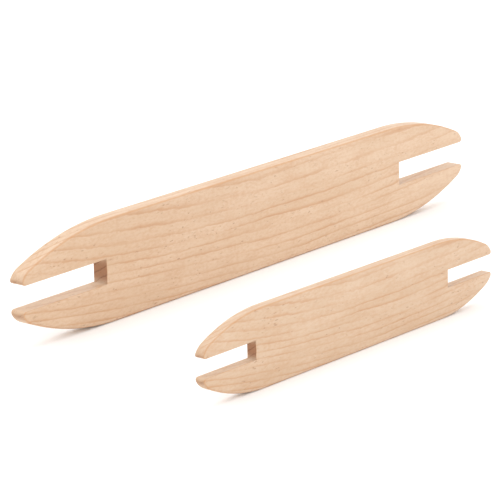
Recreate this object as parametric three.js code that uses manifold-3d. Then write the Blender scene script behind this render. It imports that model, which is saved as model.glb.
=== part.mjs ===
// A set of two stick shuttles for hand weaving: flat wooden tools that carry
// the weft yarn, which is wound lengthwise between the two open end slots.
// Both stand on a long edge, the small one in front of the large one.
// Millimetres, +Z up, X along the large shuttle, origin at the middle of the
// large shuttle's lower edge.

import * as THREE from 'three';
import { mergeVertices } from 'three/addons/utils/BufferGeometryUtils.js';
import Module from 'manifold-3d';

const wasm = await Module();
wasm.setup();

// Driving dimensions of each shuttle.
// length      tip to tip
// height      long edge to long edge
// thickness   board thickness
// shoulder    where the straight edge ends and the end curve starts, from the middle
// tipRadius   rounding of each prong's tip
// slotWidth   gap between the two prongs
// slotDepth   slot's inner end, measured from the tips
// arris       rounding of the outline's corners, face to edge
const LARGE = {
  name: 'large_shuttle',
  length: 254,
  height: 37.5,
  thickness: 6.4,
  shoulder: 80,
  tipRadius: 2.0,
  slotWidth: 9.0,
  slotDepth: 42,
  arris: 1.3,
  place: { x: 0, y: 0, turn: 0 },
};
const SMALL = {
  name: 'small_shuttle',
  length: 154,
  height: 27.6,
  thickness: 4.0,
  shoulder: 47,
  tipRadius: 1.6,
  slotWidth: 6.4,
  slotDepth: 25.5,
  arris: 0.9,
  place: { x: -62, y: -91, turn: -1.1 },
};

// Smoothness of the curves.
const END_CURVE_STEPS = 14;
const TIP_STEPS = 5;
const ARRIS_STEPS = 4;

// How far a slot cutter reaches past the wood.
const CUTTER_MARGIN = 3;

const WOOD = { color: 0xe7c4a6, roughness: 0.55, metalness: 0 };

// The end curve is one arc that leaves the straight edge smoothly at the
// shoulder and runs, tangent again, into the small arc round the prong's tip.
function endCurve(size) {
  const tipX = size.length / 2 - size.tipRadius;
  const tipZ = size.slotWidth / 2 + size.tipRadius;
  const run = tipX - size.shoulder;
  const drop = size.height / 2 - tipZ;
  // Equal distances: (run)^2 + (radius - drop)^2 = (radius - tipRadius)^2
  const radius = (run ** 2 + drop ** 2 - size.tipRadius ** 2) / (2 * (drop - size.tipRadius));
  const centreZ = size.height / 2 - radius;
  const join = Math.atan2(run, tipZ - centreZ);
  return { tipX, tipZ, radius, centreZ, join };
}

// Points of one quarter of the outline, from the shoulder to the tip.
function quarterOutline(size) {
  const { tipX, tipZ, radius, centreZ, join } = endCurve(size);
  const points = [];
  for (let step = 0; step <= END_CURVE_STEPS; step++) {
    const angle = (join * step) / END_CURVE_STEPS;
    const x = size.shoulder + radius * Math.sin(angle);
    points.push([x, centreZ + radius * Math.cos(angle)]);
  }
  for (let step = 1; step <= TIP_STEPS; step++) {
    const angle = join + ((Math.PI / 2 - join) * step) / TIP_STEPS;
    const x = tipX + size.tipRadius * Math.sin(angle);
    points.push([x, tipZ + size.tipRadius * Math.cos(angle)]);
  }
  return points;
}

// The whole outline of the board before its slots are cut.
function boardShape(size) {
  const quarter = quarterOutline(size);
  const back = [...quarter].reverse();
  const outline = [
    ...back.map(([x, z]) => new THREE.Vector2(x, z)),
    ...quarter.map(([x, z]) => new THREE.Vector2(-x, z)),
    ...back.map(([x, z]) => new THREE.Vector2(-x, -z)),
    ...quarter.map(([x, z]) => new THREE.Vector2(x, -z)),
  ];
  return new THREE.Shape(outline);
}

// The slot at the +X end, with a mouth that rounds the inner side of each tip.
function slotShape(size) {
  const { tipX, tipZ } = endCurve(size);
  const half = size.slotWidth / 2;
  const innerEnd = size.length / 2 - size.slotDepth;
  const outside = size.length / 2 + CUTTER_MARGIN;
  const mouth = [];
  for (let step = 0; step <= TIP_STEPS; step++) {
    const angle = (Math.PI / 2) * (step / TIP_STEPS);
    const x = tipX + size.tipRadius * Math.sin(angle);
    mouth.push([x, tipZ - size.tipRadius * Math.cos(angle)]);
  }
  const outline = [
    new THREE.Vector2(innerEnd, -half),
    ...mouth.map(([x, z]) => new THREE.Vector2(x, -z)),
    new THREE.Vector2(outside, -tipZ),
    new THREE.Vector2(outside, tipZ),
    ...[...mouth].reverse().map(([x, z]) => new THREE.Vector2(x, z)),
    new THREE.Vector2(innerEnd, half),
  ];
  return new THREE.Shape(outline);
}

// A board with every outer corner rounded, centred on its thickness.
function roundedBoard(size) {
  const geometry = new THREE.ExtrudeGeometry(boardShape(size), {
    depth: size.thickness - 2 * size.arris,
    bevelEnabled: true,
    bevelThickness: size.arris,
    bevelSize: size.arris,
    bevelOffset: -size.arris,
    bevelSegments: ARRIS_STEPS,
  });
  return geometry.translate(0, 0, size.arris - size.thickness / 2);
}

// A straight cutter for one slot, through the whole thickness.
function slotCutter(size) {
  const depth = size.thickness + 2 * CUTTER_MARGIN;
  const geometry = new THREE.ExtrudeGeometry(slotShape(size), { depth, bevelEnabled: false });
  return geometry.translate(0, 0, -depth / 2);
}

function toSolid(geometry) {
  const bare = geometry.clone();
  bare.deleteAttribute('normal');
  bare.deleteAttribute('uv');
  const merged = mergeVertices(bare, 1e-5);
  const solidMesh = new wasm.Mesh({
    numProp: 3,
    vertProperties: new Float32Array(merged.attributes.position.array),
    triVerts: new Uint32Array(merged.index.array),
  });
  return new wasm.Manifold(solidMesh);
}

function toGeometry(solid) {
  const mesh = solid.getMesh();
  const geometry = new THREE.BufferGeometry();
  geometry.setAttribute('position', new THREE.BufferAttribute(mesh.vertProperties, 3));
  geometry.setIndex(new THREE.BufferAttribute(mesh.triVerts, 1));
  geometry.computeVertexNormals();
  return geometry;
}

// One shuttle, standing on its lower edge where its place says.
function shuttle(size) {
  const cutter = slotCutter(size);
  const oppositeCutter = cutter.clone().rotateZ(Math.PI);
  const solid = toSolid(roundedBoard(size))
    .subtract(toSolid(cutter))
    .subtract(toSolid(oppositeCutter));
  const geometry = toGeometry(solid);
  geometry.rotateX(Math.PI / 2);
  geometry.translate(0, 0, size.height / 2);
  const mesh = new THREE.Mesh(geometry, new THREE.MeshStandardMaterial(WOOD));
  mesh.name = size.name;
  mesh.position.set(size.place.x, size.place.y, 0);
  mesh.rotation.z = THREE.MathUtils.degToRad(size.place.turn);
  return mesh;
}

const group = new THREE.Group();
group.add(shuttle(LARGE));
group.add(shuttle(SMALL));

export default group;
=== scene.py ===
# %% [markdown]
# # Two stick shuttles for hand weaving
# A stick shuttle is a thin flat board with an open slot cut into each end. The weaver winds yarn
# lengthwise from slot to slot and passes the loaded board through the warp. This notebook makes a
# large and a small one, standing on their long edges, in pale sanded hardwood.
# The sizes come from a packed CAD frame, which is loaded first and never changed.

# %% Load the frame
import math

import bmesh
import bpy
from mathutils import Matrix, Vector


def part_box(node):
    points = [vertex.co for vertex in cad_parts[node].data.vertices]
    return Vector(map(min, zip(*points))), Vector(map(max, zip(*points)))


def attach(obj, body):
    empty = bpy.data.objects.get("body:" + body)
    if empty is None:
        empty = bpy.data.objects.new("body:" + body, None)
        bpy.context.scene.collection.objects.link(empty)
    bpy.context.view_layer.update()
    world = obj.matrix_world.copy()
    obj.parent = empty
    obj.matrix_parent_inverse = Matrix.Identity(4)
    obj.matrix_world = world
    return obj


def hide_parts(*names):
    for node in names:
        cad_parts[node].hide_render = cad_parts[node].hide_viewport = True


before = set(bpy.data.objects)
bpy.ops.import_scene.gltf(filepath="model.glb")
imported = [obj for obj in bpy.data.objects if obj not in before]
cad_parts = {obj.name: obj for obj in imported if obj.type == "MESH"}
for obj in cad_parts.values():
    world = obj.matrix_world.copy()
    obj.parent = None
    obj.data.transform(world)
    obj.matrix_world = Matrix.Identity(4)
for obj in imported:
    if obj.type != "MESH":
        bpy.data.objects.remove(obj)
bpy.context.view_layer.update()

# %% [markdown]
# ## The camera
# A long lens from about a metre away keeps the long edges nearly parallel, as product views do.
# The camera could be aimed with a tracking constraint, but a matrix built from its own three axes
# also takes the slight roll, and it leaves nothing that has to be evaluated later.

# %% Camera
MM = 0.001
CAMERA_TURN = math.radians(-50.735)
CAMERA_RISE = math.radians(15.401)
CAMERA_ROLL = math.radians(1.118)
CAMERA_DISTANCE = 1127.2 * MM
CAMERA_AIM = Vector((17.95, 17.32, 0.0)) * MM
LENS_MM = 216.0
SENSOR_MM = 36.0


def make_camera():
    """Puts the camera on its line of sight, rolled a little clockwise."""
    backward = Vector((
        math.sin(CAMERA_TURN) * math.cos(CAMERA_RISE),
        -math.cos(CAMERA_TURN) * math.cos(CAMERA_RISE),
        math.sin(CAMERA_RISE),
    ))
    level_right = Vector((0, 0, 1)).cross(backward).normalized()
    roll = Matrix.Rotation(-CAMERA_ROLL, 3, backward)
    right = roll @ level_right
    up = backward.cross(right)
    data = bpy.data.cameras.new("camera")
    data.lens = LENS_MM
    data.sensor_width = SENSOR_MM
    data.clip_start = 0.01
    data.clip_end = 100.0
    camera = bpy.data.objects.new("camera", data)
    turned = Matrix((right, up, backward)).transposed().to_4x4()
    camera.matrix_world = Matrix.Translation(CAMERA_AIM + backward * CAMERA_DISTANCE) @ turned
    bpy.context.scene.collection.objects.link(camera)
    bpy.context.scene.camera = camera
    return camera


camera = make_camera()
print("camera at", [round(v, 3) for v in camera.matrix_world.translation])

# %% [markdown]
# ## Sizes of the boards
# Both shuttles have the same plan, so one table of plain measures drives one modelling function.
# The sizes of the CAD nodes are printed to compare, and each board's place is taken from its node,
# so the looks can't drift away from the design. The small node's box comes out a little thicker
# than its board, because it is turned slightly on the table.

# %% Sizes
# shoulder: where the straight edge ends, from the middle.
# brow, tip and mouth radius: the arcs that end a prong, from its outer edge to its slot.
# slot_depth: from the tips to the slot's inner end.
# arris: the rounding of the outer corners.
# painted_shade_factor: how far the wood colour is darkened beside the large board's, a painted
# shade for the extra light the small board gets.
SHUTTLES = {
    "large": {
        "node": "large_shuttle",
        "length": 254.0 * MM,
        "height": 37.5 * MM,
        "thickness": 6.4 * MM,
        "shoulder": 80.0 * MM,
        "brow_radius": 7.0 * MM,
        "tip_radius": 1.6 * MM,
        "mouth_radius": 1.3 * MM,
        "slot_width": 9.0 * MM,
        "slot_depth": 42.0 * MM,
        "arris": 1.1 * MM,
        "painted_shade_factor": 1.0,
        "turn": 0.0,
    },
    "small": {
        "node": "small_shuttle",
        "length": 154.0 * MM,
        "height": 27.6 * MM,
        "thickness": 4.0 * MM,
        "shoulder": 47.0 * MM,
        "brow_radius": 7.0 * MM,
        "tip_radius": 1.2 * MM,
        "mouth_radius": 1.0 * MM,
        "slot_width": 6.4 * MM,
        "slot_depth": 25.5 * MM,
        "arris": 0.8 * MM,
        "painted_shade_factor": 0.945,
        "turn": math.radians(-1.1),
    },
}


def centre_of(size):
    """Middle of a shuttle's CAD node."""
    low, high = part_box(size["node"])
    return (low + high) / 2


for name, size in SHUTTLES.items():
    low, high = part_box(size["node"])
    print(name, "CAD size mm", [round(v / MM, 2) for v in high - low])

# %% [markdown]
# ## Outline of a board
# A quarter of the outline is drawn with a single vertex that is extruded along the straight edge
# and spun round four arcs, each tighter than the last: the long end curve, the brow where the
# prong drops, the tip, and the mouth that turns into the slot. Spinning keeps the arcs true
# circles that run smoothly into each other. Two mirrors then give the whole outline, so both
# ends and both edges are the same.

# %% Outline
TIP_ANGLE = math.radians(60)
END_CURVE_STEPS = 36
BROW_STEPS = 14
TIP_STEPS = 5
MOUTH_STEPS = 8
STRAIGHT_STEP = 5.0 * MM
WELD = 0.001 * MM


def mouth_centre(size):
    """Centre of the arc that turns the tip into the slot's edge."""
    radius = size["mouth_radius"]
    return size["length"] / 2 - radius, size["slot_width"] / 2 + radius


def end_arcs(size):
    """The arcs of one prong, each as centre x, centre z, angle and steps, and the first angle."""
    brow, tip = size["brow_radius"], size["tip_radius"]
    mouth_x, mouth_z = mouth_centre(size)
    run = size["length"] / 2 - size["shoulder"] - brow * math.sin(TIP_ANGLE)
    run -= tip * (1 - math.sin(TIP_ANGLE))
    drop = size["height"] / 2 - mouth_z - brow * (1 - math.cos(TIP_ANGLE))
    drop -= tip * math.cos(TIP_ANGLE)
    first = 2 * math.atan2(drop, run)
    long_radius = brow + run / math.sin(first)
    long_z = size["height"] / 2 - long_radius
    brow_x = size["shoulder"] + run
    brow_z = long_z + (long_radius - brow) * math.cos(first)
    tip_x = brow_x + (brow - tip) * math.sin(TIP_ANGLE)
    tip_z = brow_z + (brow - tip) * math.cos(TIP_ANGLE)
    arcs = (
        (size["shoulder"], long_z, first, END_CURVE_STEPS),
        (brow_x, brow_z, TIP_ANGLE - first, BROW_STEPS),
        (tip_x, tip_z, math.pi / 2 - TIP_ANGLE, TIP_STEPS),
        (mouth_x, mouth_z, math.pi / 2, MOUTH_STEPS),
    )
    return arcs, first


def draw_to(bm, vert, x, z):
    """Extrudes one vertex to a new place and returns the new vertex."""
    made = bmesh.ops.extrude_vert_indiv(bm, verts=[vert])["verts"][0]
    made.co = (x, 0, z)
    return made


def draw_arc(bm, vert, centre_x, centre_z, angle, steps):
    """Spins one vertex about an axis along the thickness and returns the last vertex."""
    made = bmesh.ops.spin(
        bm,
        geom=[vert],
        cent=(centre_x, 0, centre_z),
        axis=(0, 1, 0),
        angle=angle,
        steps=steps,
    )
    return [item for item in made["geom_last"] if isinstance(item, bmesh.types.BMVert)][0]


def draw_outline(size):
    """The closed outline of one shuttle in the XZ plane, centred on the origin."""
    bm = bmesh.new()
    arcs, _ = end_arcs(size)
    mouth_x, _ = mouth_centre(size)
    slot_x = size["length"] / 2 - size["slot_depth"]
    vert = bm.verts.new((0, 0, size["height"] / 2))
    steps = round(size["shoulder"] / STRAIGHT_STEP)
    for step in range(1, steps + 1):
        x = size["shoulder"] * step / steps
        vert = draw_to(bm, vert, x, size["height"] / 2)
    for centre_x, centre_z, angle, arc_steps in arcs:
        vert = draw_arc(bm, vert, centre_x, centre_z, angle, arc_steps)
    steps = round((mouth_x - slot_x) / STRAIGHT_STEP)
    for step in range(1, steps + 1):
        x = mouth_x + (slot_x - mouth_x) * step / steps
        vert = draw_to(bm, vert, x, size["slot_width"] / 2)
    draw_to(bm, vert, slot_x, 0)
    for axis in "ZX":
        geometry = bm.verts[:] + bm.edges[:]
        bmesh.ops.mirror(bm, geom=geometry, matrix=Matrix(), merge_dist=WELD, axis=axis)
        bmesh.ops.remove_doubles(bm, verts=bm.verts[:], dist=WELD)
    return bm


for name, size in SHUTTLES.items():
    _, first = end_arcs(size)
    print(name, "end curve turns", round(math.degrees(first), 1), "degrees before the brow")

# %% [markdown]
# ## From outline to board
# The outline is filled and extruded to the board's thickness. A sander rounds a shuttle's outer
# corners well, so that it slides through the warp, while the saw leaves the slot's corners nearly
# sharp. Each edge of the two faces therefore carries a bevel weight: full on the outside, slight
# inside the slot, and fading evenly round the nose between them, because a width that changes in
# a jump would make neighbouring corners cross. The Bevel modifier turns the weights into rounded
# corners in one pass, so they meet without a seam.

# %% Board
SLOT_ARRIS = 0.22 * MM
ARRIS_SEGMENTS = 7


def outward_turn(edge, size):
    """How far the outline has turned from facing up, at one of its edges."""
    middle = (edge.verts[0].co + edge.verts[1].co) / 2
    along = edge.verts[1].co - edge.verts[0].co
    mouth_x, mouth_z = mouth_centre(size)
    turned = math.atan2(abs(along.z), abs(along.x))
    if abs(middle.z) > mouth_z:
        return turned
    return math.pi - turned if abs(middle.x) > mouth_x else math.pi


def corner_weight(edge, size):
    """Bevel weight of an edge of the outline, as a share of the board's arris."""
    slight = SLOT_ARRIS / size["arris"]
    _, first = end_arcs(size)
    fade = (outward_turn(edge, size) - first) / (math.pi - first)
    return 1 + (slight - 1) * min(1.0, max(0.0, fade))


def thicken(bm, size):
    """Fills the outline and gives it the board's thickness, half to each side."""
    bmesh.ops.contextual_create(bm, geom=bm.edges[:])
    made = bmesh.ops.extrude_face_region(bm, geom=bm.faces[:])["geom"]
    far_side = [item for item in made if isinstance(item, bmesh.types.BMVert)]
    bmesh.ops.translate(bm, verts=far_side, vec=(0, size["thickness"], 0))
    bmesh.ops.translate(bm, verts=bm.verts[:], vec=(0, -size["thickness"] / 2, 0))
    bmesh.ops.recalc_face_normals(bm, faces=bm.faces[:])


def weigh_corners(bm, size):
    """Gives each edge of the two broad faces its bevel weight."""
    weights = bm.edges.layers.float.new("bevel_weight_edge")
    for edge in bm.edges:
        along = edge.verts[1].co - edge.verts[0].co
        if abs(along.y) < WELD:
            edge[weights] = corner_weight(edge, size)


def put_in_place(bm, size):
    """Turns the board and moves it to its CAD node, so that its object needs no move."""
    turn = Matrix.Rotation(size["turn"], 3, "Z")
    bmesh.ops.rotate(bm, verts=bm.verts[:], cent=(0, 0, 0), matrix=turn)
    bmesh.ops.translate(bm, verts=bm.verts[:], vec=centre_of(size))


def round_corners(board, size):
    """Adds the Bevel modifier that turns the weights into rounded corners."""
    rounding = board.modifiers.new("rounded_corners", "BEVEL")
    rounding.limit_method = "WEIGHT"
    rounding.width = size["arris"]
    rounding.segments = ARRIS_SEGMENTS
    rounding.profile = 0.5
    rounding.use_clamp_overlap = False
    rounding.harden_normals = True


def make_board(name, size):
    """One shuttle as a finished object, with its place in its mesh."""
    bm = draw_outline(size)
    thicken(bm, size)
    weigh_corners(bm, size)
    put_in_place(bm, size)
    for face in bm.faces:
        face.smooth = True
    mesh = bpy.data.meshes.new(name)
    bm.to_mesh(mesh)
    bm.free()
    board = bpy.data.objects.new(name, mesh)
    bpy.context.scene.collection.objects.link(board)
    round_corners(board, size)
    return board


boards = {name: make_board(f"{name}_board", size) for name, size in SHUTTLES.items()}
print("corners before rounding", {name: len(board.data.vertices) for name, board in boards.items()})

# %% [markdown]
# ## A small language for shaders
# Wood is mostly arithmetic: distances, repeating rings and thresholds. Wiring Math nodes by hand
# hides the formula, so a small class wraps a socket and lets Python's own operators add the nodes.
# Every other node comes from one method that takes its type, its settings and its sockets.

# %% Shader helpers


class Signal:
    """A number that varies over a surface, usable in ordinary arithmetic."""

    def __init__(self, finish, socket):
        self.finish = finish
        self.socket = socket

    def math(self, operation, *others):
        settings = {"operation": operation}
        values = dict(enumerate(others))
        return self.finish.node("ShaderNodeMath", settings, values)

    def __add__(self, other):
        return self.math("ADD", self, other)

    def __radd__(self, other):
        return self.math("ADD", other, self)

    def __sub__(self, other):
        return self.math("SUBTRACT", self, other)

    def __rsub__(self, other):
        return self.math("SUBTRACT", other, self)

    def __mul__(self, other):
        return self.math("MULTIPLY", self, other)

    def __rmul__(self, other):
        return self.math("MULTIPLY", other, self)

    def __truediv__(self, other):
        return self.math("DIVIDE", self, other)

    def __pow__(self, other):
        return self.math("POWER", self, other)

    def fraction(self):
        return self.math("FRACT", self)

    def whole(self):
        return self.math("FLOOR", self)

    def root(self):
        return self.math("SQRT", self)

    def size(self):
        return self.math("ABSOLUTE", self)

    def ramp(self, low, high):
        """0 below low, 1 above high, and a smooth step between them."""
        settings = {"interpolation_type": "SMOOTHSTEP"}
        values = {"Value": self, "From Min": low, "From Max": high}
        return self.finish.node("ShaderNodeMapRange", settings, values)


class Finish:
    """A material and the one method that adds nodes to it."""

    def __init__(self, name):
        self.material = bpy.data.materials.new(name)
        self.material.use_nodes = True
        self.tree = self.material.node_tree
        self.tree.nodes.clear()

    def node(self, kind, settings=None, values=None, output=0):
        """Adds a node, sets it, fills its sockets and returns one of its outputs."""
        made = self.tree.nodes.new(kind)
        for key, setting in (settings or {}).items():
            setattr(made, key, setting)
        for key, value in (values or {}).items():
            if isinstance(value, Signal):
                self.tree.links.new(value.socket, made.inputs[key])
            else:
                made.inputs[key].default_value = value
        return Signal(self, made.outputs[output]) if len(made.outputs) else None

    def vector(self, operation, first, second):
        """Vector Math, for places and stretches."""
        return self.node("ShaderNodeVectorMath", {"operation": operation}, {0: first, 1: second})

    def noise(self, place, stretch, detail=2.0, roughness=0.5):
        """Noise about 0, from -1 to 1, with features as long as stretch says on each axis."""
        scale = tuple(1 / length for length in stretch)
        values = {
            "Vector": self.vector("MULTIPLY", place, scale),
            "Scale": 1.0,
            "Detail": detail,
            "Roughness": roughness,
        }
        return 2 * self.node("ShaderNodeTexNoise", {"noise_dimensions": "3D"}, values) - 1

    def mix(self, share, first, second):
        """The first colour, with a share of the second laid over it."""
        settings = {"data_type": "RGBA", "clamp_factor": True}
        return self.node("ShaderNodeMix", settings, {0: share, 6: first, 7: second}, output=2)


print("operators on a signal", [name for name in vars(Signal) if name.startswith("__r")])

# %% [markdown]
# ## Colours of the wood
# The boards are cut from a pale, close-grained hardwood. Its colours are given as they look on a
# display, from 0 to 255, and turned into the linear numbers that shaders work with. Picking them
# by eye in the editor would do too, but written numbers can be compared and shared. The small
# one's wood is darkened a shade, as painted shade that evens out the extra light that falls on it.

# %% Wood colours


def linear(red, green, blue):
    """A display colour from 0 to 255 as the linear colour that shaders use."""
    shares = [channel / 255 for channel in (red, green, blue)]
    return (*(s / 12.92 if s <= 0.04045 else ((s + 0.055) / 1.055) ** 2.4 for s in shares), 1.0)


def with_painted_shade(colour, size):
    """A wood colour darkened for one board, a painted shade that offsets the extra light it gets.
    """
    return (*(channel * size["painted_shade_factor"] for channel in colour[:3]), 1.0)


PALE = linear(213, 185, 157)
WARM = linear(206, 176, 146)
RING_LINE = linear(186, 133, 88)
FIBRE_DARK = linear(191, 147, 109)
FLECK = linear(140, 88, 52)
RUBBED = linear(190, 132, 82)
END_GRAIN = linear(152, 100, 62)
END_RING = linear(118, 72, 42)
print("pale wood in linear colour", [round(channel, 3) for channel in PALE[:3]])

# %% [markdown]
# ## Growth rings
# A tree adds one ring a year round its pith, so the finish is worked out in space: the distance
# from a gently bent pith line gives the year, and each year ends in a thin darker line. Because
# the pith lies behind the board and above it, the broad side shows rings that are wide near the
# top and close together near the bottom, the long edge shows almost none, and the slot's end
# shows them running aslant. A flat picture wrapped round the board couldn't agree with itself at
# the corners like this. Three sizes of noise push the rings in and out, as a real trunk does.

# %% Growth rings
# Millimetres on the large board, from its middle.
PITH_BACK = 27.0
PITH_UP = 31.0
PITH_BEND = 0.00048
PITH_TURNING_POINT = 35.0
RING_WIDTH = 2.6

# Feature lengths along X, Y and Z, detail, roughness, and how far the rings are pushed.
RING_WANDER = (
    ((70, 14, 14), 1.5, 0.5, 1.5),
    ((22, 6, 6), 2.0, 0.5, 0.5),
    ((7, 1.5, 1.5), 3.0, 0.65, 0.55),
)

# Shares of a year: where the wood deepens, and where its closing line begins and ends.
LATE_SPAN = (0.3, 1.0)
LATE_CURVE = 2.0
LINE_BEGINS = (0.7, 0.93)
LINE_ENDS = (0.94, 1.0)

YEAR_SPACING = 3.7
TINT_LENGTH = 60.0


def board_place(finish, world, size):
    """Place on the board in millimetres of the large shuttle, so both boards show the same cut."""
    large = SHUTTLES["large"]
    scale = (
        size["length"] / large["length"] * MM,
        size["thickness"] / large["thickness"] * MM,
        size["height"] / large["height"] * MM,
    )
    values = {
        "Vector": world,
        "Location": centre_of(size),
        "Rotation": (0, 0, size["turn"]),
        "Scale": scale,
    }
    return finish.node("ShaderNodeMapping", {"vector_type": "TEXTURE"}, values)


def along_axis(finish, place, axis):
    """One coordinate of a place or a direction, as a number."""
    return finish.node("ShaderNodeSeparateXYZ", None, {"Vector": place}, output=axis)


def growth_rings(finish, board):
    """Each point's year, and how far through that year's growth it lies, from 0 to 1."""
    x = along_axis(finish, board, "X")
    bend = (x - PITH_TURNING_POINT) ** 2 * PITH_BEND
    up = PITH_UP + bend - along_axis(finish, board, "Z")
    back = PITH_BACK - along_axis(finish, board, "Y")
    distance = (up * up + back * back).root()
    for stretch, detail, roughness, push in RING_WANDER:
        distance = distance + finish.noise(board, stretch, detail, roughness) * push
    year = distance / RING_WIDTH
    return year.whole(), year.fraction()


def tint_of_year(finish, board, year):
    """A slight tint of each year's own, drifting slowly along the board."""
    x = along_axis(finish, board, "X")
    values = {"X": year * YEAR_SPACING, "Y": x / TINT_LENGTH}
    place = finish.node("ShaderNodeCombineXYZ", None, values)
    return finish.noise(place, (1, 1, 1), 0.0)


def closing_line(phase):
    """The thin dark line in which a year's growth ends."""
    return phase.ramp(*LINE_BEGINS) * (1 - phase.ramp(*LINE_ENDS))


print("rings across the large board, about", round(SHUTTLES["large"]["height"] / MM / RING_WIDTH))

# %% [markdown]
# ## Fine figure
# Between the rings the wood has fibres, longer strands, a cloudy mottle and short dark flecks, all
# drawn out along the grain. One noise texture could be reused for all of them, but each has its
# own length and width on the real board, so each gets its own, in true millimetres on both boards.

# %% Fine figure
# Length along the grain and width across it in millimetres, detail, and roughness.
FIBRES = (5, 0.25, 3.0, 0.6)
STRANDS = (26, 0.9, 2.0, 0.5)
MOTTLES = (1.9, 0.8, 3.0, 0.65)
CLOUDS = (11, 3.2, 1.0, 0.5)
FLECKS = (2.2, 0.7, 1.0, 0.5)
FLECK_CROWDS = (24, 7, 1.0, 0.5)

FLECK_FROM = (0.34, 0.54)
CROWD_FROM = (-0.5, 0.4)


def figure(finish, world, kind):
    """One kind of fine figure, as noise about 0."""
    along, across, detail, roughness = kind
    stretch = (along * MM, across * MM, across * MM)
    return finish.noise(world, stretch, detail, roughness)


def short_flecks(finish, world):
    """Dark flecks, many in some places and few in others."""
    crowd = figure(finish, world, FLECK_CROWDS).ramp(*CROWD_FROM)
    return figure(finish, world, FLECKS).ramp(*FLECK_FROM) * crowd


print("finest fibre", FIBRES[1], "mm wide")

# %% [markdown]
# ## Long grain
# The colour is laid on as a painter would: a pale ground that drifts towards warm, the deeper late
# wood, the closing lines, which come and go along the board, and then the fine figure.

# %% Long grain
PATCHES = (34, 9, 9)
PATCH_FROM = (0.1, 0.9)
CLEARNESS = (32, 5, 5)
CLEAR_FROM = (-0.4, 0.55)
MOTTLE_FROM = (-0.3, 0.5)
FIBRE_FROM = (0.0, 0.5)
LATE_LEAST = 0.08
LATE_MORE = 0.3
LINE_LEAST = 0.1
LINE_MORE = 0.44
MOTTLE_SHARE = 0.5
FIBRE_SHARE = 0.3
FLECK_SHARE = 0.5


def ringed_ground(finish, board, size, line, year, phase):
    """Pale wood with its rings."""
    tint = tint_of_year(finish, board, year)
    patch = finish.noise(board, PATCHES, 1.0)
    warmth = (patch * 0.6 + tint * 0.4 + 0.5).ramp(*PATCH_FROM)
    clear = (finish.noise(board, CLEARNESS, 2.0) + tint * 0.6).ramp(*CLEAR_FROM)
    late = phase.ramp(*LATE_SPAN) ** LATE_CURVE
    # The base colours carry each board's painted shade.
    colour = finish.mix(warmth, with_painted_shade(PALE, size), with_painted_shade(WARM, size))
    colour = finish.mix(late * (clear * LATE_MORE + LATE_LEAST), colour, RING_LINE)
    return finish.mix(line * (clear * LINE_MORE + LINE_LEAST), colour, RING_LINE)


def with_figure(finish, world, colour, fibre, strand, mottle, fleck):
    """Lays mottle, fibres and flecks over the ground."""
    cloud = figure(finish, world, CLOUDS)
    shade = (cloud * 0.4 + mottle * 0.8).ramp(*MOTTLE_FROM)
    thread = (fibre * 0.5 + strand * 0.5).ramp(*FIBRE_FROM)
    colour = finish.mix(shade * MOTTLE_SHARE, colour, FIBRE_DARK)
    colour = finish.mix(thread * FIBRE_SHARE, colour, FIBRE_DARK)
    return finish.mix(fleck * FLECK_SHARE, colour, FLECK)


print("closing lines cover from", LINE_LEAST, "to", round(LINE_LEAST + LINE_MORE, 2))

# %% [markdown]
# ## Corners and end grain
# Hands rub the rounded corners warmer. Where the saw cuts across the fibres the wood drinks more
# oil and goes darker: most at the slot's inner end and less on the sanded noses of the prongs. The
# noses' upper sides are painted lighter still, and their undersides keep a painted shade, as light
# from above would leave them. The surface's own direction tells these places apart, so no mask has
# to be painted.

# %% Corners and end grain
CORNER_FROM = (0.35, 1.0)
CORNER_SHARE = 0.45
END_FROM = (0.6, 0.98)
END_SHARE = 0.85
NOSE_FROM = (112.0, 116.0)
NOSE_LESS = 0.25
# Painted light on the noses: where it begins as the surface turns from facing down to facing up,
# and how much darkening it takes away.
NOSE_PAINTED_LIGHT_FROM = (-0.4, 0.5)
NOSE_PAINTED_LIGHT_SHARE = 0.5


def rubbed_corners(finish, direction, colour):
    """Warms the surface where it faces halfway between the broad side and the edge."""
    across = along_axis(finish, direction, "Y")
    flatness = across * across
    corner = (4 * flatness * (1 - flatness)).ramp(*CORNER_FROM)
    return finish.mix(corner * CORNER_SHARE, colour, RUBBED)


def end_grain(finish, board, direction, facing, line, colour):
    """Darkens the surface where it cuts across the fibres, but paints the noses lighter where they
    face up, as painted light from above.
    """
    nose = along_axis(finish, board, "X").size().ramp(*NOSE_FROM)
    # Painted light: noses facing up lose most of their darkening, so their undersides keep a
    # painted shade as if lit from above.
    nose_painted_light = nose * along_axis(finish, direction, "Z").ramp(*NOSE_PAINTED_LIGHT_FROM)
    share = facing * (END_SHARE - nose * NOSE_LESS - nose_painted_light * NOSE_PAINTED_LIGHT_SHARE)
    return finish.mix(share, colour, finish.mix(line, END_GRAIN, END_RING))


print("end grain covers up to", END_SHARE)

# %% [markdown]
# ## The sanded finish
# Sanding leaves wood satin, with a relief that is felt more than seen. Displacement would need far
# more faces for a twentieth of a millimetre, so a slight bump does it. End grain stays rougher.

# %% Sanded finish
BUMP_STRENGTH = 0.3
BUMP_DEPTH = 0.05 * MM
ROUGHNESS = 0.4
ROUGHNESS_OF_FIBRE = 0.06
ROUGHNESS_OF_END = 0.2
WOOD_IOR = 1.5


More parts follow.
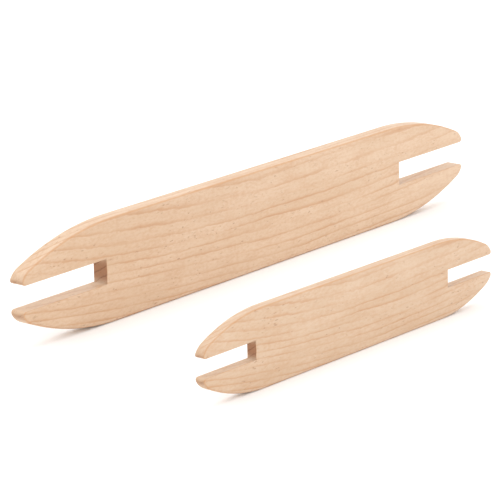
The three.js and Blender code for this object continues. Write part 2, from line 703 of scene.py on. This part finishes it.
def shuttle_wood(name, size):
    """Pale hardwood, sanded smooth, with rings, fibres, flecks and darker end grain."""
    finish = Finish(name)
    world = finish.node("ShaderNodeTexCoord", output="Object")
    direction = finish.node("ShaderNodeTexCoord", output="Normal")
    board = board_place(finish, world, size)
    year, phase = growth_rings(finish, board)
    line = closing_line(phase)
    fibre = figure(finish, world, FIBRES)
    strand = figure(finish, world, STRANDS)
    mottle = figure(finish, world, MOTTLES)
    fleck = short_flecks(finish, world)
    facing = along_axis(finish, direction, "X").size().ramp(*END_FROM)

    colour = ringed_ground(finish, board, size, line, year, phase)
    colour = with_figure(finish, world, colour, fibre, strand, mottle, fleck)
    colour = rubbed_corners(finish, direction, colour)
    colour = end_grain(finish, board, direction, facing, line, colour)

    height = fibre * 0.35 + strand * 0.3 + mottle * 0.3 - line * 0.3 - fleck * 0.8
    relief = {"Height": height, "Strength": BUMP_STRENGTH, "Distance": BUMP_DEPTH}
    surface = {
        "Base Color": colour,
        "Roughness": ROUGHNESS + fibre * ROUGHNESS_OF_FIBRE + facing * ROUGHNESS_OF_END,
        "IOR": WOOD_IOR,
        "Normal": finish.node("ShaderNodeBump", None, relief),
    }
    shader = finish.node("ShaderNodeBsdfPrincipled", None, surface)
    finish.node("ShaderNodeOutputMaterial", None, {"Surface": shader})
    return finish.material


woods = {name: shuttle_wood(f"{name}_wood", size) for name, size in SHUTTLES.items()}
print("nodes in each wood", {name: len(wood.node_tree.nodes) for name, wood in woods.items()})

# %% [markdown]
# ## Dress the frame
# Each finished board stands for its CAD node and rides on that node's body, so the small one moves
# with the joint that lifts it. It could be parented by hand, but naming the body keeps every pose
# of the design in step.

# %% Attach the boards
for name, size in SHUTTLES.items():
    board = boards[name]
    board.data.materials.append(woods[name])
    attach(board, name)
    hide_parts(size["node"])
print("attached", sorted(boards))

# %% [markdown]
# ## Floor and light
# A wide white table and a white room give the nearly shadowless look of a product view. A large
# soft panel above makes the upper edges brightest. One in front lights the broad sides, from far
# enough away that both shuttles get the same light, and one behind keeps the backs from going
# dull. A sun lamp would light them as evenly, but its shadows would be too crisp.

# %% Stage
FLOOR_RADIUS = 12.0
FLOOR_SIDES = 96
FLOOR_SURFACE = {
    "Base Color": (0.96, 0.96, 0.96, 1),
    "Roughness": 0.9,
    "Specular IOR Level": 0.1,
}
PANEL_TARGET = Vector((0, 0, 0.02))
ROOM_BRIGHTNESS = 1.06

# Place and width in metres, and power in watts.
PANELS = {
    "panel_above": ((0.1, 0.1, 1.4), 1.6, 7.5),
    "panel_front": ((0.6, -2.6, 1.4), 2.4, 16.0),
    "panel_back": ((-0.5, 1.2, 1.0), 1.2, 4.0),
}


def make_floor():
    """A wide white disc that the shuttles stand on."""
    bm = bmesh.new()
    bmesh.ops.create_circle(bm, cap_ends=True, segments=FLOOR_SIDES, radius=FLOOR_RADIUS)
    mesh = bpy.data.meshes.new("floor")
    bm.to_mesh(mesh)
    bm.free()
    floor = bpy.data.objects.new("floor", mesh)
    bpy.context.scene.collection.objects.link(floor)
    finish = Finish("floor_white")
    shader = finish.node("ShaderNodeBsdfPrincipled", None, FLOOR_SURFACE)
    finish.node("ShaderNodeOutputMaterial", None, {"Surface": shader})
    floor.data.materials.append(finish.material)


def make_panel(name, place, width, power):
    """A soft square light that faces the shuttles."""
    data = bpy.data.lights.new(name, "AREA")
    data.shape = "SQUARE"
    data.size = width
    data.energy = power
    panel = bpy.data.objects.new(name, data)
    aim = (PANEL_TARGET - Vector(place)).to_track_quat("-Z", "Y")
    panel.matrix_world = Matrix.Translation(place) @ aim.to_matrix().to_4x4()
    bpy.context.scene.collection.objects.link(panel)


def make_room(brightness):
    """An even white surrounding."""
    world = bpy.data.worlds.new("white_room")
    world.use_nodes = True
    background = world.node_tree.nodes["Background"]
    background.inputs["Color"].default_value = (1, 1, 1, 1)
    background.inputs["Strength"].default_value = brightness
    bpy.context.scene.world = world


make_floor()
for name, (place, width, power) in PANELS.items():
    make_panel(name, place, width, power)
make_room(ROOM_BRIGHTNESS)
bpy.context.scene.view_settings.view_transform = "Standard"
print("lights", sorted(PANELS))

# %% [markdown]
